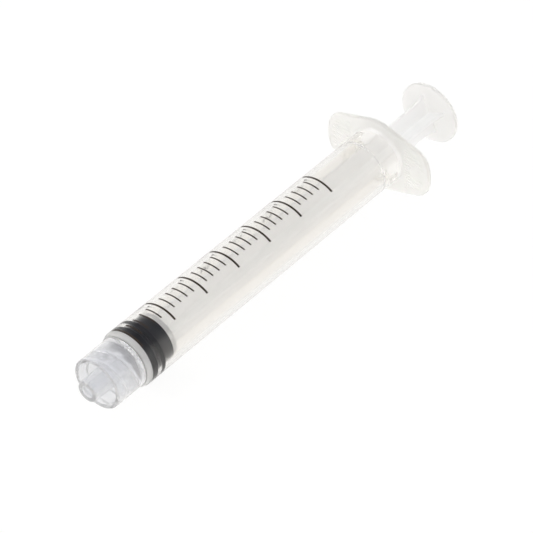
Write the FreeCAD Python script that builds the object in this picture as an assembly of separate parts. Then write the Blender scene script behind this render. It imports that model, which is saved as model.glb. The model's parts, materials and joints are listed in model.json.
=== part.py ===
import FreeCAD, Part
import math
import os

# A three-millilitre disposable syringe with a locking luer tip, in three pieces: the clear moulded
# barrel with its finger flange, the plunger rod with its thumb rest, and the rubber stopper.
# +X runs along the barrel from the nozzle tip to the thumb rest, with X = 0 at the tip's face.
# +Y runs along the long axis of the finger flange and +Z is up. All sizes are millimetres or degrees.

# Luer nozzle
nozzle_tip_d = 3.97
luer_taper = 0.06
nozzle_bore_d = 2.2
nozzle_reach = 2.35
nozzle_edge_r = 0.3

# Locking collar round the nozzle
collar_bore_d = 8.0
collar_wall = 0.75
collar_depth = 6.0
collar_rim_bevel = 0.15
collar_floor_bevel = 0.3

# Barrel
bore_d = 8.9
barrel_wall = 0.825
bore_length = 65.18
end_wall = 2.02
end_cone_depth = 1.0
shoulder_length = 1.35
shoulder_step = 0.2
shoulder_slope_length = 0.85
shoulder_bevel = 0.2

# Retaining bead and the flared mouth of the bore
bead_setback = 4.75
bead_height = 0.15
bead_length = 1.2
mouth_length = 1.6
mouth_flare = 0.4

# Finger flange: a round middle with two tapering wings
flange_thickness = 0.95
flange_length = 22.2
flange_width = 14.4
flange_side_slope = 17.0
flange_corner_r = 4.0
flange_edge_r = 0.35
neck_r = 0.5

# Grip ribs on the front of the wings, with a bare round patch on one wing
rib_pitch = 0.6
rib_width = 0.26
rib_height = 0.14
rib_neck_gap = 0.12
rib_margin = 1.15
shortest_rib = 0.6
bare_patch_r = 1.35
bare_patch_y = 8.35

# Stopper, from its nose to its back
stopper_nose_gap = 0.12
stopper_front_gap = 0.06
seal_gap = 0.04
front_seal_length = 1.38
groove_length = 0.82
groove_depth = 0.41
rear_seal_length = 1.0
stopper_land_length = 2.33
stopper_land_gap = 0.19
seal_edge_bevel = 0.1

# Rod head that snaps into the stopper
head_d = 5.0
head_length = 1.7
head_nose_length = 0.7
head_nose_d = 3.4
head_neck_d = 3.2
head_neck_length = 1.3
head_gap = 0.05

# Plunger rod
rod_disc_gap = 0.1
rod_disc_clearance = 0.38
rod_disc_thickness = 1.0
fin_clearance = 1.33
fin_thickness = 0.76
fin_edge_r = 0.3
fin_angle = 66.8
fin_flare_rise = 0.75
fin_flare_r = 5.5
rod_stick_out = 13.22

# Thumb rest
thumb_d = 11.83
thumb_thickness = 0.85
thumb_edge_r = 0.32
ridge_pitch = 1.18
ridge_width = 0.42
ridge_height = 0.3
ridge_margin = 0.68

# How far a cutting body runs past the face that it opens
cut_overrun = 1.0

# Sizes worked out from the ones above
nozzle_tip_r = nozzle_tip_d / 2
nozzle_bore_r = nozzle_bore_d / 2
collar_bore_r = collar_bore_d / 2
collar_r = collar_bore_r + collar_wall
bore_r = bore_d / 2
barrel_r = bore_r + barrel_wall
collar_front = nozzle_reach
collar_floor = collar_front + collar_depth
bore_front = collar_floor + end_wall
bore_end = bore_front + bore_length
shoulder_foot = bore_front - shoulder_length
flange_front = bore_end - flange_thickness
bead_front = bore_end - bead_setback - bead_length / 2
nozzle_root_r = nozzle_tip_r + collar_floor * luer_taper / 2

seal_r = bore_r - seal_gap
groove_r = bore_r - seal_gap - groove_depth
land_r = bore_r - stopper_land_gap
front_seal_start = bore_front + stopper_front_gap
front_seal_end = front_seal_start + front_seal_length
rear_seal_start = front_seal_end + groove_length
rear_seal_end = rear_seal_start + rear_seal_length
stopper_back = rear_seal_end + stopper_land_length

rod_disc_front = stopper_back + rod_disc_gap
rod_disc_back = rod_disc_front + rod_disc_thickness
rod_disc_r = bore_r - rod_disc_clearance
fin_radius = bore_r - fin_clearance
thumb_front = bore_end + rod_stick_out
thumb_back = thumb_front + thumb_thickness
thumb_r = thumb_d / 2

# The plunger is drawn back until the stopper's rear seal meets the retaining bead.
plunger_travel = bead_front - rear_seal_end - head_gap

ORIGIN = FreeCAD.Vector(0, 0, 0)
X_AXIS = FreeCAD.Vector(1, 0, 0)


def turned(points):
    """Solid made by turning a closed outline of (x, radius) points about the X axis.

    A point with a third number gets a bevel, which starts that far from the corner on both sides.
    """
    places = [FreeCAD.Vector(point[0], 0, point[1]) for point in points]
    corners = []
    for i, point in enumerate(points):
        if len(point) == 2:
            corners.append(places[i])
            continue
        for neighbour in (places[i - 1], places[(i + 1) % len(places)]):
            way = neighbour - places[i]
            corners.append(places[i] + way.normalize() * point[2])
    outline = Part.makePolygon(corners + corners[:1])
    return Part.Face(outline).revolve(ORIGIN, X_AXIS, 360)


def ring_edges(shape, x, r):
    """The circular edges of a shape that lie at one place along X with one radius."""
    found = []
    for edge in shape.Edges:
        curve = edge.Curve
        if not isinstance(curve, Part.Circle):
            continue
        if abs(curve.Radius - r) < 1e-4 and abs(curve.Center.x - x) < 1e-4:
            if abs(curve.Center.y) < 1e-4 and abs(curve.Center.z) < 1e-4:
                found.append(edge)
    return found


def rounded_ring(shape, x, r, radius):
    """The shape with the circular edge at (x, r) rounded."""
    return shape.makeFillet(radius, ring_edges(shape, x, r))


def polar(x, radius, angle):
    """Point at a radius and an angle about the X axis, counted from +Y towards +Z."""
    a = math.radians(angle)
    return FreeCAD.Vector(x, radius * math.cos(a), radius * math.sin(a))


def arc(x, radius, start, end):
    """Arc about the X axis between two angles."""
    ends = [polar(x, radius, a) for a in (start, (start + end) / 2, end)]
    return Part.Arc(*ends).toShape()


def flange_outline(x, inset):
    """Closed outline of the flange, moved inwards by an inset: round middle, straight sides, round ends."""
    middle_r = flange_width / 2 - inset
    end_r = flange_length / 2 - inset
    side = 90 - flange_side_slope
    corner = side - math.degrees(math.acos(middle_r / end_r))
    edges = []
    for turn in (0, 180):
        end_arc = arc(x, end_r, turn - corner, turn + corner)
        side_out = Part.makeLine(polar(x, end_r, turn + corner), polar(x, middle_r, turn + side))
        middle = arc(x, middle_r, turn + side, turn + 180 - side)
        side_in = Part.makeLine(polar(x, middle_r, turn + 180 - side), polar(x, end_r, turn + 180 - corner))
        edges += [end_arc, side_out, middle, side_in]
    return Part.Wire(edges)


def flange_plate(x, thickness, inset):
    """Flat plate with the flange's outline."""
    return Part.Face(flange_outline(x, inset)).extrude(FreeCAD.Vector(thickness, 0, 0))


def make_flange():
    """The finger flange with its wing corners and both its rims rounded."""
    plate = flange_plate(flange_front, flange_thickness, 0)
    corners = []
    for edge in plate.Edges:
        first, last = edge.Vertexes[0].Point, edge.Vertexes[-1].Point
        along_x = abs((last - first).x) > flange_thickness / 2
        radius = math.hypot(first.y, first.z)
        if along_x and abs(radius - flange_length / 2) < 1e-4:
            corners.append(edge)
    plate = plate.makeFillet(flange_corner_r, corners)
    rims = [e for e in plate.Edges if abs(e.BoundBox.XLength) < 1e-6]
    return plate.makeFillet(flange_edge_r, rims)


def make_grip_ribs():
    """Fine ribs along Y on the front of both wings, ending inside the flange's rim."""
    field = flange_plate(flange_front - rib_height, 2 * rib_height, rib_margin)
    start = barrel_r + neck_r + rib_neck_gap
    reach = flange_length / 2
    count = int((flange_width / 2 - rib_margin) / rib_pitch)
    ribs = []
    for wing in (-1, 1):
        for i in range(-count, count + 1):
            low_y = start if wing > 0 else -reach
            corner = FreeCAD.Vector(flange_front - rib_height, low_y, i * rib_pitch - rib_width / 2)
            bar = Part.makeBox(2 * rib_height, reach - start, rib_width, corner)
            bar = bar.common(field)
            if bar.Volume > shortest_rib * rib_width * rib_height:
                ribs.append(bar)
    patch_at = FreeCAD.Vector(flange_front - 2 * rib_height, -bare_patch_y, 0)
    patch = Part.makeCylinder(bare_patch_r, 4 * rib_height, patch_at, X_AXIS)
    return [rib.cut(patch) for rib in ribs]


def make_barrel():
    """One moulding: nozzle, collar, shoulder, tube and flange."""
    body = turned([
        (0, 0),
        (0, nozzle_tip_r),
        (collar_floor, nozzle_root_r, collar_floor_bevel),
        (collar_floor, collar_bore_r, collar_floor_bevel),
        (collar_front, collar_bore_r, collar_rim_bevel),
        (collar_front, collar_r, collar_rim_bevel),
        (shoulder_foot, collar_r),
        (shoulder_foot, collar_r + shoulder_step),
        (shoulder_foot + shoulder_slope_length, barrel_r, shoulder_bevel),
        (bore_end, barrel_r),
        (bore_end, 0),
    ])
    body = rounded_ring(body, 0, nozzle_tip_r, nozzle_edge_r)
    body = body.fuse(make_flange())
    body = rounded_ring(body, flange_front, barrel_r, neck_r)
    body = body.fuse(make_grip_ribs())
    bead_r = bore_r - bead_height
    bore = turned([
        (-cut_overrun, 0),
        (-cut_overrun, nozzle_bore_r),
        (bore_front - end_cone_depth, nozzle_bore_r),
        (bore_front, bore_r),
        (bead_front, bore_r),
        (bead_front + bead_length / 3, bead_r),
        (bead_front + bead_length * 2 / 3, bead_r),
        (bead_front + bead_length, bore_r),
        (bore_end - mouth_length, bore_r),
        (bore_end, bore_r + mouth_flare),
        (bore_end + cut_overrun, bore_r + mouth_flare),
        (bore_end + cut_overrun, 0),
    ])
    return body.cut(bore).removeSplitter()


def end_cone_x(r):
    """Place along X of the bore's conical end at a radius."""
    return bore_front - end_cone_depth * (bore_r - r) / (bore_r - nozzle_bore_r)


def head_profile(gap):
    """Outline of the rod's head and neck, grown by a gap for the socket it snaps into."""
    nose_x = stopper_back - head_neck_length - head_length
    neck_x = stopper_back - head_neck_length
    return [
        (nose_x - gap, 0),
        (nose_x - gap, head_nose_d / 2 + gap),
        (nose_x - gap + head_nose_length, head_d / 2 + gap),
        (neck_x + gap, head_d / 2 + gap),
        (neck_x + gap, head_neck_d / 2 + gap),
        (rod_disc_front + gap, head_neck_d / 2 + gap),
        (rod_disc_front + gap, 0),
    ]


def make_stopper():
    """Rubber stopper: conical nose, two sealing rings, a narrower land and a socket for the rod's head."""
    shape = turned([
        (end_cone_x(nozzle_bore_r) + stopper_nose_gap, 0),
        (end_cone_x(nozzle_bore_r) + stopper_nose_gap, nozzle_bore_r),
        (end_cone_x(land_r) + stopper_nose_gap, land_r),
        (front_seal_start, seal_r),
        (front_seal_end, seal_r, seal_edge_bevel),
        (front_seal_end, groove_r),
        (rear_seal_start, groove_r),
        (rear_seal_start, seal_r, seal_edge_bevel),
        (rear_seal_end, seal_r, seal_edge_bevel),
        (rear_seal_end, land_r),
        (stopper_back, land_r, seal_edge_bevel),
        (stopper_back, 0),
    ])
    return shape.cut(turned(head_profile(head_gap)))


def make_fin_pair(angle):
    """One flat web with two opposite fins, which flare out where they meet the thumb rest."""
    flare_angle = math.acos(1 - fin_flare_rise / fin_flare_r)
    flare_length = fin_flare_r * math.sin(flare_angle)
    flare_start = thumb_front - flare_length
    half = flare_angle / 2
    mid_x = flare_start + fin_flare_r * math.sin(half)
    mid_r = fin_radius + fin_flare_r * (1 - math.cos(half))
    tip_r = fin_radius + fin_flare_rise
    depth = -fin_thickness / 2

    def at(x, z):
        return FreeCAD.Vector(x, depth, z)

    start_x = rod_disc_back - rod_disc_thickness / 2
    end_x = thumb_front + thumb_thickness / 2
    edges = [
        Part.makeLine(at(start_x, -fin_radius), at(start_x, fin_radius)),
        Part.makeLine(at(start_x, fin_radius), at(flare_start, fin_radius)),
        Part.Arc(at(flare_start, fin_radius), at(mid_x, mid_r), at(thumb_front, tip_r)).toShape(),
        Part.makeLine(at(thumb_front, tip_r), at(end_x, tip_r)),
        Part.makeLine(at(end_x, tip_r), at(end_x, -tip_r)),
        Part.makeLine(at(end_x, -tip_r), at(thumb_front, -tip_r)),
        Part.Arc(at(thumb_front, -tip_r), at(mid_x, -mid_r), at(flare_start, -fin_radius)).toShape(),
        Part.makeLine(at(flare_start, -fin_radius), at(start_x, -fin_radius)),
    ]
    web = Part.Face(Part.Wire(edges)).extrude(FreeCAD.Vector(0, fin_thickness, 0))
    long_edges = []
    for edge in web.Edges:
        box = edge.BoundBox
        outside = min(abs(box.ZMin), abs(box.ZMax)) > fin_radius - 1e-4
        if outside and box.YLength < 1e-6 and box.XLength > fin_edge_r and box.XMax < thumb_front + 1e-4:
            long_edges.append(edge)
    web = web.makeFillet(fin_edge_r, long_edges)
    web.rotate(ORIGIN, X_AXIS, angle - 90)
    return web


def make_thumb_rest():
    """Round thumb rest with rounded rims and parallel grip ridges on its back."""
    disc = Part.makeCylinder(thumb_r, thumb_thickness, FreeCAD.Vector(thumb_front, 0, 0), X_AXIS)
    rims = ring_edges(disc, thumb_front, thumb_r) + ring_edges(disc, thumb_back, thumb_r)
    disc = disc.makeFillet(thumb_edge_r, rims)
    field_r = thumb_r - ridge_margin
    field_at = FreeCAD.Vector(thumb_back - ridge_height, 0, 0)
    field = Part.makeCylinder(field_r, 2 * ridge_height, field_at, X_AXIS)
    count = int((field_r - ridge_width) / ridge_pitch)
    ridges = []
    for i in range(-count, count + 1):
        corner = FreeCAD.Vector(thumb_back - ridge_height, -thumb_r, i * ridge_pitch - ridge_width / 2)
        bar = Part.makeBox(2 * ridge_height, 2 * thumb_r, ridge_width, corner)
        bar.rotate(ORIGIN, X_AXIS, fin_angle - 90)
        ridges.append(bar.common(field))
    return disc.fuse(ridges)


def make_plunger_rod():
    """One moulding: snap-in head, front disc, crossed fins and thumb rest."""
    head = turned(head_profile(0))
    disc_at = FreeCAD.Vector(rod_disc_front, 0, 0)
    disc = Part.makeCylinder(rod_disc_r, rod_disc_thickness, disc_at, X_AXIS)
    webs = [make_fin_pair(fin_angle), make_fin_pair(fin_angle + 90)]
    return head.fuse([disc] + webs + [make_thumb_rest()]).removeSplitter()


os.makedirs("parts", exist_ok=True)
nodes = {
    "barrel": make_barrel(),
    "plunger_rod": make_plunger_rod(),
    "stopper": make_stopper(),
}
for name, shape in nodes.items():
    shape.exportStep("parts/" + name + ".step")
    print(name, "solids", len(shape.Solids), "valid", shape.isValid(), "volume", round(shape.Volume, 1))
print("plunger travel", round(plunger_travel, 2))
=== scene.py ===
import json
import math

import bmesh
import bpy
import numpy as np
from mathutils import Euler, Matrix, Vector


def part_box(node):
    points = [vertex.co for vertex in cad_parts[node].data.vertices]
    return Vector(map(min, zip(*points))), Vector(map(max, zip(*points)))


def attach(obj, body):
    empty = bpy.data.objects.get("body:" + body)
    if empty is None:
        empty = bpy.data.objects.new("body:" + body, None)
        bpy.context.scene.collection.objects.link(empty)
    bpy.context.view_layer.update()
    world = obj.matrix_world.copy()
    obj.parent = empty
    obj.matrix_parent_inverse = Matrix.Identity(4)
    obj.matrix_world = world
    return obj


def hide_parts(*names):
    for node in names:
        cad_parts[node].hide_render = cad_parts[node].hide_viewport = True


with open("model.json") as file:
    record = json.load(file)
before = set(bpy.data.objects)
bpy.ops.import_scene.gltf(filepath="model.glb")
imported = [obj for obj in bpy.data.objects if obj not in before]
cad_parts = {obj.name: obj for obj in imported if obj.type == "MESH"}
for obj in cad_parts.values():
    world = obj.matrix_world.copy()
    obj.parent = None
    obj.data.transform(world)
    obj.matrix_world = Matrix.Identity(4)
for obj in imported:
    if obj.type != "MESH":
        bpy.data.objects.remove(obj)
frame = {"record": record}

bl_info = {
    "name": "Luer Lock Syringe",
    "version": (1, 0, 0),
    "blender": (4, 5, 0),
    "location": "3D View > Sidebar > Syringe",
    "description": "Builds a 3 ml syringe with a locking luer tip, its printed scale and a studio stage",
    "category": "Add Mesh",
}

# The syringe lies along X with its nozzle tip at X = 0. Angles about X are counted from +Y towards +Z.
# All sizes are metres, written as millimetres times MM.
MM = 0.001
BARREL_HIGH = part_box("barrel")[1]
ROD_LOW, ROD_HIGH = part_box("plunger_rod")
STOPPER_LOW, STOPPER_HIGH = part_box("stopper")
MOUNTS = {mount["name"]: mount for mount in frame["record"]["mounts"]}
BARREL_RADIUS = MOUNTS["barrel_grip"]["dims"]["r_mm"] * MM
COLLAR_BORE_RADIUS = MOUNTS["luer_collar"]["dims"]["r_mm"] * MM
COLLAR_FRONT = MOUNTS["luer_collar"]["pos_m"][0]
NOZZLE_RADIUS = MOUNTS["luer_nozzle"]["dims"]["r_mm"] * MM

TURN_STEPS = 360
TURN = np.radians(np.arange(TURN_STEPS) * 360 / TURN_STEPS)
SHADING_STEP = 0.05 * MM
SHARP_ANGLE = math.radians(28)

CONE_LENGTH = 1 * MM
LUER_TAPER = 0.06
RIDGE_HEIGHT = 0.3 * MM


# Meshes turned about the X axis

def rounded(points, steps=6):
    """Path through (x, radius) points. A point with a third number is rounded to that radius.

    Each rounding is followed on both sides by one point a short step away, so that the smooth shading of
    the rounding doesn't spread over the long face beside it.
    """
    path = []
    for i, point in enumerate(points):
        here = Vector(point[:2])
        if len(point) == 2:
            path.append(here)
            continue
        back = (Vector(points[i - 1][:2]) - here).normalized()
        ahead = (Vector(points[i + 1][:2]) - here).normalized()
        half = back.angle(ahead) / 2
        reach = point[2] / math.tan(half)
        centre = here + (back + ahead).normalized() * (point[2] / math.sin(half))
        start = here + back * reach - centre
        swing = (here + ahead * reach - centre).angle_signed(start)
        path.append(here + back * (reach + SHADING_STEP))
        for step in range(steps + 1):
            turn = Matrix.Rotation(swing * step / steps, 2)
            path.append(centre + turn @ start)
        path.append(here + ahead * (reach + SHADING_STEP))
    return path


def ring(x, radius):
    """One ring of points about the X axis. Both values may be one number or one for each step of the turn."""
    x = np.broadcast_to(x, TURN_STEPS)
    radius = np.broadcast_to(radius, TURN_STEPS)
    return np.stack([x, radius * np.cos(TURN), radius * np.sin(TURN)], axis=1)


def rings_along(path):
    """One ring for each point of a path of (x, radius) points."""
    return [ring(x, radius) for x, radius in path]


def finished_object(name, bm):
    """Object made from a bmesh, with outward normals and smooth shading except at sharp edges."""
    bmesh.ops.recalc_face_normals(bm, faces=bm.faces)
    mesh = bpy.data.meshes.new(name)
    bm.to_mesh(mesh)
    bm.free()
    mesh.shade_smooth()
    mesh.set_sharp_from_angle(angle=SHARP_ANGLE)
    piece = bpy.data.objects.new(name, mesh)
    bpy.context.scene.collection.objects.link(piece)
    return piece


def skin_rings(bm, rings, closed=False):
    """Faces between neighbouring rings. A skin that isn't closed ends in a point on the axis at both ends."""
    rows = [[bm.verts.new(point) for point in points] for points in rings]
    pairs = list(zip(rows, rows[1:]))
    if closed:
        pairs.append((rows[-1], rows[0]))
    for low, high in pairs:
        for j in range(TURN_STEPS):
            k = (j + 1) % TURN_STEPS
            bm.faces.new((low[j], low[k], high[k], high[j]))
    if closed:
        return
    for row, points in ((rows[0], rings[0]), (rows[-1], rings[-1])):
        tip = bm.verts.new((points[0][0], 0, 0))
        for j in range(TURN_STEPS):
            bm.faces.new((row[j], row[(j + 1) % TURN_STEPS], tip))


def skin_loops(bm, loops):
    """Faces between neighbouring loops of vertices, and one over the first loop and the last."""
    for near, far in zip(loops, loops[1:]):
        for j in range(len(near)):
            k = (j + 1) % len(near)
            bm.faces.new((near[j], near[k], far[k], far[j]))
    bm.faces.new(loops[0])
    bm.faces.new(loops[-1])


def turned(along, across, angle):
    """Y and Z of a point turned about the X axis."""
    return (
        along * math.cos(angle) - across * math.sin(angle),
        along * math.sin(angle) + across * math.cos(angle),
    )


def add_ridge(bm, middle, foot, crest, angle=0):
    """Closed bar with sloped sides, turned about the X axis.

    Its foot and crest are rectangles, each given by x, its two ends along the bar and its width.
    """
    loops = []
    for x, low, high, width in (foot, crest):
        loop = []
        for along, side in ((low, -1), (high, -1), (high, 1), (low, 1)):
            loop.append(bm.verts.new((x, *turned(along, middle + side * width / 2, angle))))
        loops.append(loop)
    skin_loops(bm, loops)


def joined(piece, extra):
    """The piece's mesh united with another closed mesh, by an exact boolean."""
    union = piece.modifiers.new("union", "BOOLEAN")
    union.operation = "UNION"
    union.solver = "EXACT"
    union.object = extra
    bpy.context.view_layer.update()
    depsgraph = bpy.context.evaluated_depsgraph_get()
    mesh = bpy.data.meshes.new_from_object(piece.evaluated_get(depsgraph))
    piece.modifiers.remove(union)
    piece.data = mesh
    bpy.data.objects.remove(extra)
    mesh.shade_smooth()
    mesh.set_sharp_from_angle(angle=SHARP_ANGLE)
    return piece


# Materials

PLASTIC_IOR = 1.49
TUBE_IOR = 1.4              # lower, so that the tube's walls mirror less of the light away
TRAPPED_DEPTH = 5.5         # rays with more bounces than this go straight on
CLEAR_TINT = (0.98, 0.98, 0.975)
FROSTED_TINT = (0.96, 0.96, 0.955)


def add_node(tree, kind, inputs, **options):
    """New node with its options set, and each input given a value or linked to another node's output."""
    node = tree.nodes.new(kind)
    for option, value in options.items():
        setattr(node, option, value)
    for name, value in inputs.items():
        if isinstance(value, bpy.types.NodeSocket):
            tree.links.new(value, node.inputs[name])
        else:
            node.inputs[name].default_value = value
    return node


def group_nodes(name, inputs, outputs):
    """New shader node group with named sockets: its tree, input node and output node."""
    tree = bpy.data.node_groups.new(name, "ShaderNodeTree")
    for label, kind, value in inputs:
        socket = tree.interface.new_socket(label, in_out="INPUT", socket_type=kind)
        socket.default_value = value
    for label, kind in outputs:
        tree.interface.new_socket(label, in_out="OUTPUT", socket_type=kind)
    return tree, tree.nodes.new("NodeGroupInput"), tree.nodes.new("NodeGroupOutput")


def mould_flow_group():
    """Soft lengthwise streaks, as melt leaves them in a moulding, and a fine surface grain."""
    tree, source, result = group_nodes(
        "Mould flow",
        [
            ("Streak Scale", "NodeSocketFloat", 160.0),
            ("Streak Stretch", "NodeSocketFloat", 0.12),
            ("Grain Scale", "NodeSocketFloat", 4000.0),
        ],
        [("Streaks", "NodeSocketFloat"), ("Grain", "NodeSocketFloat")],
    )
    place = tree.nodes.new("ShaderNodeTexCoord").outputs["Object"]
    stretch = add_node(tree, "ShaderNodeCombineXYZ", {"X": source.outputs["Streak Stretch"], "Y": 1, "Z": 1})
    scaled = add_node(tree, "ShaderNodeVectorMath", {0: place, 1: stretch.outputs[0]}, operation="MULTIPLY")
    streaks = add_node(tree, "ShaderNodeTexNoise", {
        "Vector": scaled.outputs[0], "Scale": source.outputs["Streak Scale"], "Detail": 3})
    spread = add_node(tree, "ShaderNodeMapRange", {
        "Value": streaks.outputs[0], "From Min": 0.35, "From Max": 0.65})
    grain = add_node(tree, "ShaderNodeTexNoise", {
        "Vector": place, "Scale": source.outputs["Grain Scale"], "Detail": 2})
    tree.links.new(spread.outputs[0], result.inputs["Streaks"])
    tree.links.new(grain.outputs[0], result.inputs["Grain"])
    return tree


class Finish:
    """A material under construction: its node tree, its Principled shader and a mould flow group."""

    def __init__(self, name, streak_scale, streak_stretch, grain_scale=2500):
        self.material = bpy.data.materials.new(name)
        self.material.use_nodes = True
        self.tree = self.material.node_tree
        self.shader = self.tree.nodes["Principled BSDF"]
        group = bpy.data.node_groups.get("Mould flow") or mould_flow_group()
        self.flow = add_node(self.tree, "ShaderNodeGroup", {
            "Streak Scale": streak_scale, "Streak Stretch": streak_stretch, "Grain Scale": grain_scale,
        }, node_tree=group)

    def colours(self, colour, shade):
        """Base colour that changes from a colour to a shade of it along the streaks."""
        mix = add_node(self.tree, "ShaderNodeMix", {
            "A": (*colour, 1), "B": (*shade, 1), "Factor": self.flow.outputs["Streaks"],
        }, data_type="RGBA")
        self.tree.links.new(mix.outputs["Result"], self.shader.inputs["Base Color"])

    def roughness(self, low, high):
        """Roughness that changes with the streaks."""
        span = add_node(self.tree, "ShaderNodeMapRange", {
            "Value": self.flow.outputs["Streaks"], "To Min": low, "To Max": high})
        self.tree.links.new(span.outputs[0], self.shader.inputs["Roughness"])

    def bump(self, height):
        """Fine surface grain of a height in metres."""
        bump = add_node(self.tree, "ShaderNodeBump", {
            "Distance": height, "Height": self.flow.outputs["Grain"]})
        self.tree.links.new(bump.outputs[0], self.shader.inputs["Normal"])

    def transmission(self, clearness, ior, tint):
        """Lets a share of the light through, with an index of refraction.

        Lamps and soft light pass straight, tinted, so that what lies in the plastic and behind it is lit.
        A ray that has been mirrored to and fro in a wall many times leaves it too, as it does in the end.
        """
        self.shader.inputs["IOR"].default_value = ior
        self.shader.inputs["Transmission Weight"].default_value = clearness
        clear = add_node(self.tree, "ShaderNodeBsdfTransparent", {"Color": (*tint, 1)})
        path = self.tree.nodes.new("ShaderNodeLightPath")
        trapped = add_node(self.tree, "ShaderNodeMath", {
            0: path.outputs["Ray Depth"], 1: TRAPPED_DEPTH}, operation="GREATER_THAN")
        straight = path.outputs["Is Shadow Ray"]
        for other in (path.outputs["Is Diffuse Ray"], trapped.outputs[0]):
            either = add_node(self.tree, "ShaderNodeMath", {0: straight, 1: other}, operation="MAXIMUM")
            straight = either.outputs[0]
        mix = add_node(self.tree, "ShaderNodeMixShader", {
            "Fac": straight, 1: self.shader.outputs[0], 2: clear.outputs[0]})
        self.tree.links.new(mix.outputs[0], self.tree.nodes["Material Output"].inputs["Surface"])


def clear_plastic(settings):
    """Clear polypropylene, a little warm."""
    finish = Finish("clear polypropylene", streak_scale=300, streak_stretch=0.03)
    finish.colours(settings.colour, settings.shade)
    finish.roughness(settings.roughness, settings.roughness * 1.5)
    finish.transmission(settings.clearness, TUBE_IOR, CLEAR_TINT)
    return finish.material


def matt_plastic(name, colour, shade, clearness, roughness):
    """Polypropylene where the mould was matt, which blurs and softens what lies behind it."""
    finish = Finish(name, streak_scale=500, streak_stretch=0.4)
    finish.colours(colour, shade)
    finish.roughness(roughness, roughness * 1.4)
    finish.bump(0.003 * MM)
    finish.transmission(clearness, PLASTIC_IOR, CLEAR_TINT)
    return finish.material


def frosted_plastic(name, colour, shade, clearness, roughness):
    """Frosted polypropylene, which scatters more light than the barrel does."""
    finish = Finish(name, streak_scale=260, streak_stretch=0.05, grain_scale=3000)
    finish.colours(colour, shade)
    finish.roughness(roughness, roughness * 1.4)
    finish.bump(0.004 * MM)
    finish.transmission(clearness, PLASTIC_IOR, FROSTED_TINT)
    return finish.material


def black_rubber(settings):
    """Black rubber with a faint greyish bloom and a fine grain."""
    finish = Finish("black rubber", streak_scale=700, streak_stretch=0.6, grain_scale=9000)
    finish.colours(settings.colour, settings.bloom)
    finish.roughness(0.35, 0.5)
    finish.bump(0.006 * MM)
    return finish.material


def printing_ink(settings):
    """Dark ink, a little browner where it is printed thinnest."""
    finish = Finish("scale ink", streak_scale=2500, streak_stretch=1, grain_scale=9000)
    finish.colours(settings.colour, settings.thin_colour)
    finish.roughness(0.4, 0.6)
    finish.bump(0.003 * MM)
    return finish.material


# Settings that a user would change

class BarrelSettings(bpy.types.PropertyGroup):
    """Sizes and look of the clear barrel."""

    bore_radius: bpy.props.FloatProperty(
        name="Bore Radius", description="Radius of the bore that the stopper runs in",
        default=4.45 * MM, unit="LENGTH")
    bore_front: bpy.props.FloatProperty(
        name="Bore Front", description="Place of the bore's front end along X",
        default=10.37 * MM, unit="LENGTH")
    nozzle_bore_radius: bpy.props.FloatProperty(
        name="Nozzle Bore Radius", description="Radius of the hole through the nozzle",
        default=1.1 * MM, unit="LENGTH")
    collar_wall: bpy.props.FloatProperty(
        name="Collar Wall", description="Wall of the locking collar",
        default=0.75 * MM, unit="LENGTH")
    collar_depth: bpy.props.FloatProperty(
        name="Collar Depth", description="Depth of the collar round the nozzle",
        default=6.0 * MM, unit="LENGTH")
    thread_lead: bpy.props.FloatProperty(
        name="Thread Lead", description="How far a hub moves in with each turn",
        default=5.0 * MM, unit="LENGTH")
    thread_height: bpy.props.FloatProperty(
        name="Thread Height", description="Height of the two thread ridges in the collar",
        default=0.26 * MM, unit="LENGTH")
    flange_thickness: bpy.props.FloatProperty(
        name="Flange Thickness", description="Thickness of the finger flange",
        default=0.95 * MM, unit="LENGTH")
    rib_pitch: bpy.props.FloatProperty(
        name="Rib Pitch", description="Distance from one grip rib to the next",
        default=0.6 * MM, unit="LENGTH")
    colour: bpy.props.FloatVectorProperty(
        name="Colour", description="Colour of the clear plastic",
        default=(0.965, 0.955, 0.935), min=0, max=1, subtype="COLOR")
    shade: bpy.props.FloatVectorProperty(
        name="Shade", description="Darker tone of the clear plastic along its flow streaks",
        default=(0.945, 0.93, 0.905), min=0, max=1, subtype="COLOR")
    clearness: bpy.props.FloatProperty(
        name="Clearness", description="Share of the light that goes through instead of being scattered",
        default=0.998, min=0, max=1, subtype="FACTOR")
    roughness: bpy.props.FloatProperty(
        name="Roughness", description="How much the surface blurs what is seen in it",
        default=0.12, min=0, max=1, subtype="FACTOR")
    collar_colour: bpy.props.FloatVectorProperty(
        name="Collar Colour", description="Colour of the matt plastic of the collar and nozzle",
        default=(0.835, 0.84, 0.86), min=0, max=1, subtype="COLOR")
    collar_shade: bpy.props.FloatVectorProperty(
        name="Collar Shade", description="Darker tone of the collar and nozzle along their flow streaks",
        default=(0.805, 0.812, 0.838), min=0, max=1, subtype="COLOR")
    flange_colour: bpy.props.FloatVectorProperty(
        name="Flange Colour", description="Colour of the matt plastic of the flange and shoulder",
        default=(0.915, 0.91, 0.893), min=0, max=1, subtype="COLOR")
    flange_shade: bpy.props.FloatVectorProperty(
        name="Flange Shade", description="Darker tone of the flange and shoulder along their flow streaks",
        default=(0.89, 0.882, 0.862), min=0, max=1, subtype="COLOR")
    matt_clearness: bpy.props.FloatProperty(
        name="Matt Clearness", description="Share of the light that goes through the matt plastic",
        default=0.86, min=0, max=1, subtype="FACTOR")
    collar_roughness: bpy.props.FloatProperty(
        name="Collar Roughness", description="How much the nozzle and collar blur what is seen in them",
        default=0.18, min=0, max=1, subtype="FACTOR")
    flange_roughness: bpy.props.FloatProperty(
        name="Flange Roughness", description="How much the finger flange blurs what is seen in it",
        default=0.34, min=0, max=1, subtype="FACTOR")


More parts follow.
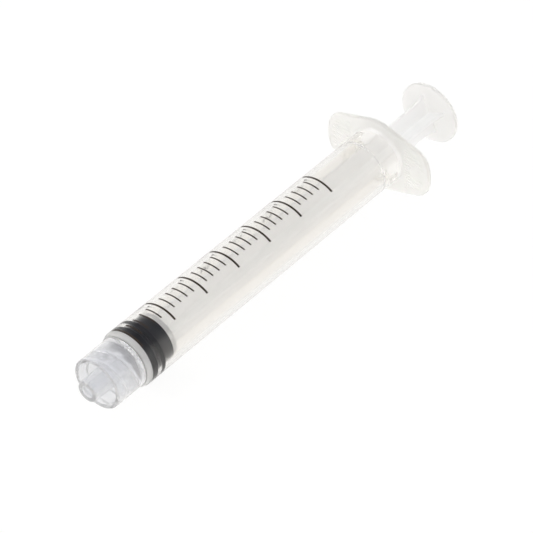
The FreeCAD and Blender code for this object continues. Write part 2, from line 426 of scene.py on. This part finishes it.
class ScaleSettings(bpy.types.PropertyGroup):
    """Sizes and look of the printed scale."""

    zero_line: bpy.props.FloatProperty(
        name="Zero Line", description="Place of the empty mark along X",
        default=10.30 * MM, unit="LENGTH")
    pitch: bpy.props.FloatProperty(
        name="Pitch", description="Distance between marks a tenth of a millilitre apart",
        default=1.6074 * MM, unit="LENGTH")
    short_width: bpy.props.FloatProperty(
        name="Short Line Width", description="Width of the lines at each tenth",
        default=0.29 * MM, unit="LENGTH")
    long_width: bpy.props.FloatProperty(
        name="Long Line Width", description="Width of the lines at each half millilitre",
        default=0.40 * MM, unit="LENGTH")
    numeral_height: bpy.props.FloatProperty(
        name="Numeral Height", description="Height of the numerals beside the long lines",
        default=2.3 * MM, unit="LENGTH")
    colour: bpy.props.FloatVectorProperty(
        name="Ink", description="Colour of the printing ink",
        default=(0.020, 0.011, 0.006), min=0, max=1, subtype="COLOR")
    thin_colour: bpy.props.FloatVectorProperty(
        name="Thin Ink", description="Colour of the ink where it is printed thinnest",
        default=(0.045, 0.028, 0.017), min=0, max=1, subtype="COLOR")


class StopperSettings(bpy.types.PropertyGroup):
    """Sizes and look of the rubber stopper."""

    groove_radius: bpy.props.FloatProperty(
        name="Groove Radius", description="Radius between the two sealing rings",
        default=4.0 * MM, unit="LENGTH")
    land_radius: bpy.props.FloatProperty(
        name="Land Radius", description="Radius behind the rear sealing ring",
        default=4.26 * MM, unit="LENGTH")
    seal_squeeze: bpy.props.FloatProperty(
        name="Seal Squeeze", description="How far the sealing rings press into the bore's wall",
        default=0.015 * MM, unit="LENGTH")
    colour: bpy.props.FloatVectorProperty(
        name="Colour", description="Colour of the rubber",
        default=(0.003, 0.003, 0.004), min=0, max=1, subtype="COLOR")
    bloom: bpy.props.FloatVectorProperty(
        name="Bloom", description="Colour of the rubber where its surface has bloomed",
        default=(0.012, 0.012, 0.015), min=0, max=1, subtype="COLOR")


class PlungerSettings(bpy.types.PropertyGroup):
    """Sizes and look of the plunger rod."""

    fin_radius: bpy.props.FloatProperty(
        name="Fin Radius", description="Distance from the axis to the fins' edges",
        default=3.12 * MM, unit="LENGTH")
    fin_thickness: bpy.props.FloatProperty(
        name="Fin Thickness", description="Thickness of the four fins",
        default=0.76 * MM, unit="LENGTH")
    fin_angle: bpy.props.FloatProperty(
        name="Fin Angle", description="Angle of the first fin about the axis, from +Y towards +Z",
        default=math.radians(66.8), unit="ROTATION")
    thumb_radius: bpy.props.FloatProperty(
        name="Thumb Rest Radius", description="Radius of the round thumb rest",
        default=5.915 * MM, unit="LENGTH")
    thumb_thickness: bpy.props.FloatProperty(
        name="Thumb Rest Thickness", description="Thickness of the thumb rest without its ridges",
        default=0.85 * MM, unit="LENGTH")
    ridge_pitch: bpy.props.FloatProperty(
        name="Ridge Pitch", description="Distance from one ridge of the thumb rest to the next",
        default=1.18 * MM, unit="LENGTH")
    colour: bpy.props.FloatVectorProperty(
        name="Colour", description="Colour of the frosted plastic",
        default=(0.885, 0.88, 0.885), min=0, max=1, subtype="COLOR")
    shade: bpy.props.FloatVectorProperty(
        name="Shade", description="Darker tone of the frosted plastic along its flow streaks",
        default=(0.86, 0.86, 0.862), min=0, max=1, subtype="COLOR")
    clearness: bpy.props.FloatProperty(
        name="Clearness", description="Share of the light that goes through instead of being scattered",
        default=0.66, min=0, max=1, subtype="FACTOR")
    roughness: bpy.props.FloatProperty(
        name="Roughness", description="How much the surface blurs what is seen in it",
        default=0.32, min=0, max=1, subtype="FACTOR")
    thumb_colour: bpy.props.FloatVectorProperty(
        name="Thumb Rest Colour", description="Colour of the thumb rest, which is thinner and less frosted",
        default=(0.9, 0.895, 0.89), min=0, max=1, subtype="COLOR")
    thumb_shade: bpy.props.FloatVectorProperty(
        name="Thumb Rest Shade", description="Darker tone of the thumb rest along its flow streaks",
        default=(0.88, 0.875, 0.87), min=0, max=1, subtype="COLOR")
    thumb_clearness: bpy.props.FloatProperty(
        name="Thumb Rest Clearness", description="Share of the light that goes through the thumb rest",
        default=0.78, min=0, max=1, subtype="FACTOR")
    thumb_roughness: bpy.props.FloatProperty(
        name="Thumb Rest Roughness", description="How much the thumb rest blurs what is seen in it",
        default=0.28, min=0, max=1, subtype="FACTOR")


class StageSettings(bpy.types.PropertyGroup):
    """Floor, backdrop, lamps and camera."""

    floor_colour: bpy.props.FloatVectorProperty(
        name="Floor", description="Colour of the floor",
        default=(0.9, 0.875, 0.83), min=0, max=1, subtype="COLOR")
    floor_lift: bpy.props.FloatProperty(
        name="Floor Lift", description="Share of plain white in the floor where it is looked at",
        default=0.93, min=0, max=1, subtype="FACTOR")
    backdrop_colour: bpy.props.FloatVectorProperty(
        name="Backdrop", description="Colour of the backdrop",
        default=(1, 1, 1), min=0, max=1, subtype="COLOR")
    ceiling_colour: bpy.props.FloatVectorProperty(
        name="Ceiling", description="Colour overhead, which clear plastic shows in its edges",
        default=(0.09, 0.1, 0.15), min=0, max=1, subtype="COLOR")
    ambient: bpy.props.FloatProperty(
        name="Ambient", description="Strength of the light from all round",
        default=0.95, min=0)
    key_power: bpy.props.FloatProperty(
        name="Key Light", description="Power of the soft lamp above",
        default=0.9, min=0, unit="POWER")
    fill_power: bpy.props.FloatProperty(
        name="Fill Light", description="Power of the broad lamp on the near side",
        default=1.8, min=0, unit="POWER")


# The barrel

def flange_radius(angles, inset):
    """Distance from the axis to the flange's outline, moved inwards by an inset, at angles in radians."""
    half_length = BARREL_HIGH.y
    half_width = BARREL_HIGH.z
    side_normal = math.radians(73)
    corner_r = 4.0 * MM
    centre_r = half_length - corner_r
    centre_angle = side_normal - math.acos((half_width - corner_r) / centre_r)
    turn = np.abs((angles + np.pi / 2) % np.pi - np.pi / 2)
    side = (half_width - inset) / np.cos(turn - side_normal)
    side = np.where(turn > side_normal, half_width - inset, side)
    end = np.full_like(turn, half_length - inset)
    across = centre_r * np.sin(turn - centre_angle)
    spread = np.clip((corner_r - inset) ** 2 - across ** 2, 0, None)
    corner = centre_r * np.cos(turn - centre_angle) + np.sqrt(spread)
    contact = np.arctan2(
        centre_r * math.sin(centre_angle) + (corner_r - inset) * math.sin(side_normal),
        centre_r * math.cos(centre_angle) + (corner_r - inset) * math.cos(side_normal),
    )
    return np.where(turn < centre_angle, end, np.where(turn < contact, corner, side))


def flange_rings(front, back, edge_r=0.35 * MM, steps=6):
    """Rings over the flange's front face, round its rim and over its back face."""
    levels = [(front, edge_r + SHADING_STEP)]
    for step in range(steps + 1):
        lean = math.pi / 2 * step / steps
        levels.append((front + edge_r * (1 - math.cos(lean)), edge_r * (1 - math.sin(lean))))
    levels += [(front + back - x, inset) for x, inset in reversed(levels)]
    return [ring(x, flange_radius(TURN, inset)) for x, inset in levels]


def thread_rings(settings, start, end):
    """Rings over the collar's bore from its floor to its mouth, with two thread ridges."""
    crest = 0.2 * MM
    foot = 0.7 * MM
    spacing = settings.thread_lead / 2
    first_at = COLLAR_FRONT + 0.75 * MM
    first_angle = math.radians(-107)
    mouth_end = COLLAR_FRONT + 0.35 * MM
    floor_end = COLLAR_FRONT + settings.collar_depth - 0.6 * MM
    ring_step = 0.07 * MM
    rings = []
    for x in np.arange(start, end, -ring_step):
        ahead = x - first_at - settings.thread_lead * (TURN - first_angle) / math.tau
        off = (ahead + spacing / 2) % spacing - spacing / 2
        centre = x - off
        rise = np.clip((foot / 2 - np.abs(off)) / (foot / 2 - crest / 2), 0, 1)
        rise = np.where((centre > mouth_end) & (centre < floor_end), rise, 0)
        rings.append(ring(x, COLLAR_BORE_RADIUS - settings.thread_height * rise))
    return rings


def grip_ribs(settings, front):
    """Closed mesh of the fine ribs on the front of both wings, with a bare round patch on one wing."""
    rib_height = 0.09 * MM
    foot_width = 0.42 * MM
    crest_width = 0.12 * MM
    end_slope = 0.08 * MM
    shortest = 0.5 * MM
    margin = 1.15 * MM
    wing_start = BARREL_RADIUS + 0.62 * MM
    patch_y = -8.35 * MM
    patch_radius = 1.35 * MM
    ends = np.linspace(wing_start, BARREL_HIGH.y, 200)
    count = int((BARREL_HIGH.z - margin) / settings.rib_pitch)
    bm = bmesh.new()
    for i in range(-count, count + 1):
        z = i * settings.rib_pitch
        for wing in (-1, 1):
            inside = np.hypot(ends, z) < flange_radius(np.arctan2(abs(z), ends), margin)
            if wing < 0:
                inside &= np.hypot(ends + patch_y, z) > patch_radius
            changes = np.flatnonzero(np.diff(inside.astype(int))) + 1
            for run in np.split(np.arange(len(ends)), changes):
                low, high = ends[run[0]], ends[run[-1]]
                if not inside[run[0]] or high - low < shortest:
                    continue
                low, high = sorted((wing * low, wing * high))
                foot = (front + rib_height, low, high, foot_width)
                crest = (front - rib_height, low + end_slope, high - end_slope, crest_width)
                add_ridge(bm, z, foot, crest)
    return finished_object("grip_ribs", bm)


def barrel_mesh(settings):
    """The barrel as one closed moulding: nozzle, collar, shoulder, tube, flange and bore."""
    flange_back = BARREL_HIGH.x
    flange_front = flange_back - settings.flange_thickness
    collar_floor = COLLAR_FRONT + settings.collar_depth
    collar_r = COLLAR_BORE_RADIUS + settings.collar_wall
    nozzle_root = NOZZLE_RADIUS + LUER_TAPER / 2 * collar_floor
    shoulder = settings.bore_front - 1.35 * MM
    bead = flange_back - 5.35 * MM
    bead_r = settings.bore_radius - 0.12 * MM
    bead_round = 1.1 * MM
    mouth_r = settings.bore_radius + 0.4 * MM
    beyond = 1 * MM
    inner = rounded([
        (flange_back, mouth_r + beyond),
        (flange_back, mouth_r, 0.12 * MM),
        (flange_back - 1.6 * MM, settings.bore_radius, 0.6 * MM),
        (bead + 1.2 * MM, settings.bore_radius, bead_round),
        (bead + 0.8 * MM, bead_r, bead_round),
        (bead + 0.4 * MM, bead_r, bead_round),
        (bead, settings.bore_radius, bead_round),
        (settings.bore_front, settings.bore_radius, 0.12 * MM),
        (settings.bore_front - CONE_LENGTH, settings.nozzle_bore_radius, 0.15 * MM),
        (0, settings.nozzle_bore_radius, 0.1 * MM),
        (0, NOZZLE_RADIUS, 0.3 * MM),
        (collar_floor, nozzle_root, 0.3 * MM),
        (collar_floor, COLLAR_BORE_RADIUS, 0.3 * MM),
        (COLLAR_FRONT, COLLAR_BORE_RADIUS),
    ])
    outer = rounded([
        (collar_floor, COLLAR_BORE_RADIUS),
        (COLLAR_FRONT, COLLAR_BORE_RADIUS, 0.18 * MM),
        (COLLAR_FRONT, collar_r, 0.18 * MM),
        (shoulder - 0.05 * MM, collar_r, 0.04 * MM),
        (shoulder, collar_r + 0.2 * MM, 0.05 * MM),
        (shoulder + 0.85 * MM, BARREL_RADIUS, 0.7 * MM),
        (flange_front, BARREL_RADIUS, 0.5 * MM),
        (flange_front, BARREL_RADIUS + beyond),
    ])
    thread = thread_rings(settings, inner[-2].x - SHADING_STEP, outer[1].x + SHADING_STEP)
    skin = rings_along(inner[1:-1]) + thread + rings_along(outer[1:-1])
    skin += flange_rings(flange_front, flange_back)
    bm = bmesh.new()
    skin_rings(bm, skin, closed=True)
    piece = finished_object("barrel_moulding", bm)
    return joined(piece, grip_ribs(settings, flange_front))


def barrel_finish(settings, centre):
    """Number of the barrel's material at the centre of a face.

    The collar and nozzle are matt. The shoulder and the outside behind the bead have the flange's finish.
    """
    clear, collar, flange = range(3)
    collar_end = COLLAR_FRONT + settings.collar_depth + 0.05 * MM
    shoulder_end = settings.bore_front - 0.1 * MM
    bead_end = BARREL_HIGH.x - 4.6 * MM
    slack = 0.1 * MM
    radius = math.hypot(centre.y, centre.z)
    if centre.x < collar_end:
        return collar
    on_shoulder = centre.x < shoulder_end and radius > COLLAR_BORE_RADIUS + slack
    behind_bead = centre.x > bead_end and radius > BARREL_RADIUS - slack
    return flange if on_shoulder or behind_bead else clear


class SYRINGE_OT_barrel(bpy.types.Operator):
    """Build the clear barrel with its nozzle, threaded collar and ribbed finger flange"""

    bl_idname = "syringe.barrel"
    bl_label = "Barrel"

    def execute(self, context):
        settings = context.scene.syringe_barrel
        piece = barrel_mesh(settings)
        piece.data.materials.append(clear_plastic(settings))
        piece.data.materials.append(matt_plastic(
            "matt collar polypropylene", settings.collar_colour, settings.collar_shade,
            settings.matt_clearness, settings.collar_roughness))
        piece.data.materials.append(matt_plastic(
            "matt flange polypropylene", settings.flange_colour, settings.flange_shade,
            settings.matt_clearness, settings.flange_roughness))
        for face in piece.data.polygons:
            face.material_index = barrel_finish(settings, face.center)
        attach(piece, "barrel")
        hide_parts("barrel")
        return {"FINISHED"}


# The printed scale

INK_LOW = BARREL_RADIUS - 0.006 * MM
INK_HIGH = BARREL_RADIUS + 0.012 * MM
LONG_LINE = (52, 126.3)     # both ends as angles in degrees
SHORT_LINE = (70.3, 108.0)
NUMERALS_AT = 14
SIZE_PER_HEIGHT = 1.4       # font size that makes digits of height 1


def arc_band(bm, x, width, start, end):
    """Thin curved strip of ink round the barrel between two angles in degrees, closed on all sides."""
    low, high = x - width / 2, x + width / 2
    steps = max(2, int(abs(end - start) / 2))
    loops = []
    for angle in np.radians(np.linspace(start, end, steps + 1)):
        corners = ((low, INK_LOW), (high, INK_LOW), (high, INK_HIGH), (low, INK_HIGH))
        loops.append([bm.verts.new((px, r * math.cos(angle), r * math.sin(angle))) for px, r in corners])
    skin_loops(bm, loops)


def scale_lines(settings):
    """Short lines at each tenth of a millilitre and long ones at each half, up to three millilitres."""
    bm = bmesh.new()
    for tenth in range(31):
        x = settings.zero_line + tenth * settings.pitch
        if tenth % 5 == 0:
            arc_band(bm, x, settings.long_width, *LONG_LINE)
        else:
            arc_band(bm, x, settings.short_width, *SHORT_LINE)
    return finished_object("scale_lines", bm)


def numeral(bm, text, x, middle, height):
    """One numeral wrapped round the barrel, its top towards the nozzle, centred at an angle in degrees."""
    curve = bpy.data.curves.new("numeral", "FONT")
    curve.body = text
    curve.size = height * SIZE_PER_HEIGHT
    curve.align_x = "CENTER"
    curve.align_y = "CENTER"
    curve.resolution_u = 4
    holder = bpy.data.objects.new("numeral", curve)
    bpy.context.scene.collection.objects.link(holder)
    bpy.context.view_layer.update()
    flat = bpy.data.meshes.new_from_object(holder)
    bpy.data.objects.remove(holder)
    part = bmesh.new()
    part.from_mesh(flat)
    reach = max(abs(v.co.x) for v in part.verts)
    cut_step = 0.3 * MM
    for cut in np.arange(-reach, reach, cut_step):
        geometry = part.verts[:] + part.edges[:] + part.faces[:]
        bmesh.ops.bisect_plane(part, geom=geometry, plane_co=(cut, 0, 0), plane_no=(1, 0, 0))
    shell = bmesh.ops.extrude_face_region(part, geom=part.faces[:])
    raised = {v for v in shell["geom"] if isinstance(v, bmesh.types.BMVert)}
    for vert in part.verts:
        angle = math.radians(middle) - vert.co.x / BARREL_RADIUS
        radius = INK_HIGH if vert in raised else INK_LOW
        vert.co = (x - vert.co.y, radius * math.cos(angle), radius * math.sin(angle))
    done = bpy.data.meshes.new("numeral")
    part.to_mesh(done)
    part.free()
    bm.from_mesh(done)


def scale_numerals(settings):
    """Numerals beside the long lines."""
    bm = bmesh.new()
    for half in range(1, 7):
        x = settings.zero_line + half * 5 * settings.pitch
        numeral(bm, "%g" % (half / 2), x, NUMERALS_AT, settings.numeral_height)
    return finished_object("scale_numerals", bm)


class SYRINGE_OT_scale(bpy.types.Operator):
    """Print the scale on the barrel: lines and numerals, as thin raised ink"""

    bl_idname = "syringe.scale"
    bl_label = "Printed Scale"

    def execute(self, context):
        settings = context.scene.syringe_scale
        ink = printing_ink(settings)
        for piece in (scale_lines(settings), scale_numerals(settings)):
            piece.data.materials.append(ink)
            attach(piece, "barrel")
        return {"FINISHED"}


# The stopper

def stopper_mesh(settings, barrel):
    """The rubber stopper with its conical nose, two sealing rings and the socket for the rod's head."""
    seal_r = barrel.bore_radius + settings.seal_squeeze
    nose = STOPPER_LOW.x
    back = STOPPER_HIGH.x
    front_seal = barrel.bore_front + 0.06 * MM
    groove = front_seal + 1.38 * MM
    rear_seal = groove + 0.82 * MM
    land = rear_seal + 1.0 * MM
    slope = (barrel.bore_radius - barrel.nozzle_bore_radius) / CONE_LENGTH
    cone_x = nose + (settings.land_radius - barrel.nozzle_bore_radius) / slope
    edge = 0.12 * MM
    neck_r = 1.65 * MM
    head_r = 2.55 * MM
    head_back = back - 1.25 * MM
    head_front = back - 3.05 * MM
    path = rounded([
        (nose, 0.2 * MM),
        (nose, barrel.nozzle_bore_radius, 0.1 * MM),
        (cone_x, settings.land_radius, 0.1 * MM),
        (front_seal, seal_r, 0.15 * MM),
        (groove, seal_r, edge),
        (groove, settings.groove_radius, edge),
        (rear_seal, settings.groove_radius, edge),
        (rear_seal, seal_r, edge),
        (land, seal_r, edge),
        (land, settings.land_radius, edge),
        (back, settings.land_radius, edge),
        (back, neck_r, 0.1 * MM),
        (head_back, neck_r, 0.1 * MM),
        (head_back, head_r, 0.1 * MM),
        (head_front + 0.7 * MM, head_r, 0.1 * MM),
        (head_front, 1.75 * MM),
    ])
    bm = bmesh.new()
    skin_rings(bm, rings_along(path))
    return finished_object("rubber_stopper", bm)


class SYRINGE_OT_stopper(bpy.types.Operator):
    """Build the rubber stopper"""

    bl_idname = "syringe.stopper"
    bl_label = "Stopper"

    def execute(self, context):
        settings = context.scene.syringe_stopper
        piece = stopper_mesh(settings, context.scene.syringe_barrel)
        piece.data.materials.append(black_rubber(settings))
        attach(piece, "stopper")
        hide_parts("stopper")
        return {"FINISHED"}


# The plunger rod

def turned_piece(name, points):
    """Solid turned about the X axis along a rounded path."""
    bm = bmesh.new()
    skin_rings(bm, rings_along(rounded(points)))
    return finished_object(name, bm)


def fin_section(settings, tip_radius):
    """Points round the cross of four fins, with rounded edges and small fillets at the root."""
    half = settings.fin_thickness / 2
    edge_r = 0.3 * MM
    root_r = 0.15 * MM
    corner = half + root_r * (1 - math.sqrt(0.5))
    flank = [(half + root_r, half)]
    for lean in np.radians((0, 22.5, 45, 67.5, 90)):
        flank.append((tip_radius - edge_r + edge_r * math.sin(lean), half - edge_r + edge_r * math.cos(lean)))
    quarter = [(along, -across) for along, across in flank] + flank[::-1] + [(corner, corner)]
    points = []
    for turn in range(4):
        angle = settings.fin_angle + math.pi / 2 * turn
        points += [turned(along, across, angle) for along, across in quarter]
    return points


def crossed_fins(settings, start, end):
    """The four fins from the front disc to the thumb rest, where they flare out."""
    flare_r = 5.5 * MM
    flare_rise = 0.75 * MM
    flare_length = math.sqrt(flare_r ** 2 - (flare_r - flare_rise) ** 2)
    flare_start = end - flare_length
    stations = [start, flare_start - SHADING_STEP]
    stations += list(np.linspace(flare_start, end, 9))
    stations.append(end + settings.thumb_thickness / 2)
    bm = bmesh.new()
    loops = []
    for x in stations:
        run = min(max(x - flare_start, 0), flare_length)
        tip = settings.fin_radius + flare_r - math.sqrt(flare_r ** 2 - run ** 2)
        loops.append([bm.verts.new((x, y, z)) for y, z in fin_section(settings, tip)])
    skin_loops(bm, loops)
    return finished_object("fins", bm)


def thumb_ridges(settings, back):
    """Closed mesh of the parallel ridges on the back of the thumb rest."""
    width = 0.46 * MM
    slope = 0.13 * MM
    field = settings.thumb_radius - 0.68 * MM
    count = int((field - width) / settings.ridge_pitch)
    angle = settings.fin_angle - math.pi / 2
    bm = bmesh.new()
    for i in range(-count, count + 1):
        middle = i * settings.ridge_pitch
        reach = math.sqrt(field ** 2 - (abs(middle) + width / 2) ** 2)
        foot = (back - RIDGE_HEIGHT, -reach, reach, width)
        crest = (back + RIDGE_HEIGHT, slope - reach, reach - slope, width - 2 * slope)
        add_ridge(bm, middle, foot, crest, angle)
    return finished_object("ridges", bm)


def plunger_mesh(settings):
    """The rod as one moulding: snap-in head, front disc, crossed fins and ridged thumb rest."""
    thumb_back = ROD_HIGH.x - RIDGE_HEIGHT
    thumb_front = thumb_back - settings.thumb_thickness
    disc_front = STOPPER_HIGH.x + 0.1 * MM
    disc_back = disc_front + 1.0 * MM
    disc_r = 4.07 * MM
    head_front = ROD_LOW.x
    head_back = head_front + 1.7 * MM
    head_r = 2.5 * MM
    neck_r = 1.6 * MM
    thumb_edge = 0.32 * MM
    fin_root = disc_back - 0.5 * MM
    edge = 0.1 * MM
    fine = 0.005 * MM
    piece = turned_piece("plunger_moulding", [
        (head_front, fine),
        (head_front, 1.7 * MM, edge),
        (head_front + 0.7 * MM, head_r, edge),
        (head_back, head_r, edge),
        (head_back, neck_r, edge),
        (disc_front, neck_r),
        (disc_front, disc_r, 0.15 * MM),
        (disc_back, disc_r, 0.15 * MM),
        (disc_back, fine),
    ])
    thumb = turned_piece("thumb_rest", [
        (thumb_front, fine),
        (thumb_front, settings.thumb_radius, thumb_edge),
        (thumb_back, settings.thumb_radius, thumb_edge),
        (thumb_back, fine),
    ])
    thumb = joined(thumb, thumb_ridges(settings, thumb_back))
    fins = joined(crossed_fins(settings, fin_root, thumb_front), thumb)
    return joined(piece, fins)


class SYRINGE_OT_plunger(bpy.types.Operator):
    """Build the frosted plunger rod with its crossed fins and ridged thumb rest"""

    bl_idname = "syringe.plunger"
    bl_label = "Plunger Rod"

    def execute(self, context):
        settings = context.scene.syringe_plunger
        piece = plunger_mesh(settings)
        piece.data.materials.append(frosted_plastic(
            "frosted polypropylene", settings.colour, settings.shade,
            settings.clearness, settings.roughness))
        piece.data.materials.append(frosted_plastic(
            "thumb rest polypropylene", settings.thumb_colour, settings.thumb_shade,
            settings.thumb_clearness, settings.thumb_roughness))
        thumb_front = ROD_HIGH.x - RIDGE_HEIGHT - settings.thumb_thickness - SHADING_STEP
        for face in piece.data.polygons:
            face.material_index = int(face.center.x > thumb_front)
        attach(piece, "rod")
        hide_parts("plunger_rod")
        return {"FINISHED"}


# The stage

FLOOR_REACH = 1.2
CAMERA_LENS = 245.15        # the camera is fitted to the photograph
CAMERA_PLACE = (-295.58 * MM, -304.58 * MM, 399.81 * MM)
CAMERA_TURN = (48.4451, 2.1486, -50.065)


def looked_at(tree, camera=1.0, mirrored=1.0, refracted=1.0):
    """Mask of what is looked at, with a share each for direct, mirrored and refracted looks."""
    path = tree.nodes.new("ShaderNodeLightPath")
    total = 0
    for name, share in (
            ("Is Camera Ray", camera), ("Is Glossy Ray", mirrored), ("Is Transmission Ray", refracted)):
        add = add_node(tree, "ShaderNodeMath", {
            0: path.outputs[name], 1: share, 2: total}, operation="MULTIPLY_ADD", use_clamp=True)
        total = add.outputs[0]
    return total


def make_floor(settings, barrel):
    """Pale floor that touches the collar's rim and the flange's edge, as under a syringe put down."""
    collar_r = COLLAR_BORE_RADIUS + barrel.collar_wall
    flange_edge = BARREL_HIGH.x - 1.0 * MM
    tilt = math.atan2(BARREL_HIGH.z - collar_r, flange_edge - COLLAR_FRONT)
    bm = bmesh.new()
    bmesh.ops.create_grid(bm, x_segments=8, y_segments=8, size=FLOOR_REACH)
    floor = finished_object("floor", bm)
    floor.rotation_euler = (0, tilt, 0)
    floor.location = (COLLAR_FRONT, 0, -collar_r)
    material = bpy.data.materials.new("pale floor")
    material.use_nodes = True
    tree = material.node_tree
    tree.nodes.remove(tree.nodes["Principled BSDF"])
    matt = add_node(tree, "ShaderNodeBsdfDiffuse", {"Color": (*settings.floor_colour, 1)})
    glow = tree.nodes.new("ShaderNodeEmission")
    lift = add_node(tree, "ShaderNodeMath", {
        0: looked_at(tree, mirrored=0.7, refracted=0.2), 1: settings.floor_lift}, operation="MULTIPLY")
    both = add_node(tree, "ShaderNodeMixShader", {
        "Fac": lift.outputs[0], 1: matt.outputs[0], 2: glow.outputs[0]})
    tree.links.new(both.outputs[0], tree.nodes["Material Output"].inputs["Surface"])
    floor.data.materials.append(material)


def make_backdrop(settings):
    """World that shows a white backdrop with a darker ceiling and lights the scene softly from all round."""
    world = bpy.data.worlds.new("studio")
    world.use_nodes = True
    bpy.context.scene.world = world
    tree = world.node_tree
    place = tree.nodes.new("ShaderNodeTexCoord")
    parts = add_node(tree, "ShaderNodeSeparateXYZ", {0: place.outputs["Generated"]})
    height = add_node(tree, "ShaderNodeMapRange", {
        "Value": parts.outputs["Z"], "From Min": 0.3, "From Max": 0.6})
    overhead = add_node(tree, "ShaderNodeMath", {
        0: height.outputs[0], 1: looked_at(tree, camera=0, refracted=0.35)}, operation="MULTIPLY")
    colour = add_node(tree, "ShaderNodeMix", {
        "A": (*settings.backdrop_colour, 1), "B": (*settings.ceiling_colour, 1),
        "Factor": overhead.outputs[0],
    }, data_type="RGBA")
    strength = add_node(tree, "ShaderNodeMapRange", {"Value": looked_at(tree), "To Min": settings.ambient})
    background = tree.nodes["Background"]
    tree.links.new(colour.outputs["Result"], background.inputs["Color"])
    tree.links.new(strength.outputs[0], background.inputs["Strength"])


def add_lamp(name, direction, distance, size, power):
    """Square soft lamp that shines at the middle of the syringe."""
    lamp = bpy.data.lights.new(name, "AREA")
    lamp.shape = "SQUARE"
    lamp.size = size
    lamp.energy = power
    holder = bpy.data.objects.new(name, lamp)
    bpy.context.scene.collection.objects.link(holder)
    middle = Vector((ROD_HIGH.x / 2, 0, 0))
    way = Vector(direction).normalized()
    holder.location = middle + way * distance
    holder.rotation_euler = way.to_track_quat("Z", "Y").to_euler()


def add_camera():
    """Camera at the photograph's angle: long lens, from the nozzle's side and above."""
    camera = bpy.data.cameras.new("camera")
    camera.lens = CAMERA_LENS
    camera.sensor_width = 36
    camera.clip_start = 0.05
    holder = bpy.data.objects.new("camera", camera)
    holder.location = CAMERA_PLACE
    holder.rotation_euler = Euler([math.radians(angle) for angle in CAMERA_TURN])
    bpy.context.scene.collection.objects.link(holder)
    bpy.context.scene.camera = holder


class SYRINGE_OT_stage(bpy.types.Operator):
    """Set up the pale floor, the white backdrop, the soft lamps and the camera"""

    bl_idname = "syringe.stage"
    bl_label = "Stage"

    def execute(self, context):
        settings = context.scene.syringe_stage
        make_floor(settings, context.scene.syringe_barrel)
        make_backdrop(settings)
        add_lamp("key", direction=(-0.2, 0.52, 0.83), distance=0.6, size=0.12, power=settings.key_power)
        add_lamp("fill", direction=(-0.3, -0.6, 0.75), distance=0.8, size=0.9, power=settings.fill_power)
        add_camera()
        context.scene.view_settings.view_transform = "Standard"
        return {"FINISHED"}


# The panel

class SYRINGE_PT_panel(bpy.types.Panel):
    """Lists the steps and the settings of each"""

    bl_label = "Syringe"
    bl_idname = "SYRINGE_PT_panel"
    bl_space_type = "VIEW_3D"
    bl_region_type = "UI"
    bl_category = "Syringe"

    def draw(self, context):
        for operator, group, name in STEPS:
            box = self.layout.box()
            box.operator(operator.bl_idname)
            for key in group.__annotations__:
                box.prop(getattr(context.scene, name), key)


STEPS = (
    (SYRINGE_OT_barrel, BarrelSettings, "syringe_barrel"),
    (SYRINGE_OT_scale, ScaleSettings, "syringe_scale"),
    (SYRINGE_OT_stopper, StopperSettings, "syringe_stopper"),
    (SYRINGE_OT_plunger, PlungerSettings, "syringe_plunger"),
    (SYRINGE_OT_stage, StageSettings, "syringe_stage"),
)


def register():
    for operator, group, name in STEPS:
        bpy.utils.register_class(group)
        setattr(bpy.types.Scene, name, bpy.props.PointerProperty(type=group))
        bpy.utils.register_class(operator)
    bpy.utils.register_class(SYRINGE_PT_panel)


def unregister():
    bpy.utils.unregister_class(SYRINGE_PT_panel)
    for operator, group, name in reversed(STEPS):
        bpy.utils.unregister_class(operator)
        delattr(bpy.types.Scene, name)
        bpy.utils.unregister_class(group)


def main():
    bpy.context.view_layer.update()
    register()
    bpy.ops.syringe.barrel()
    bpy.ops.syringe.scale()
    bpy.ops.syringe.stopper()
    bpy.ops.syringe.plunger()
    bpy.ops.syringe.stage()
    bpy.context.view_layer.update()


if __name__ == "__main__":
    main()
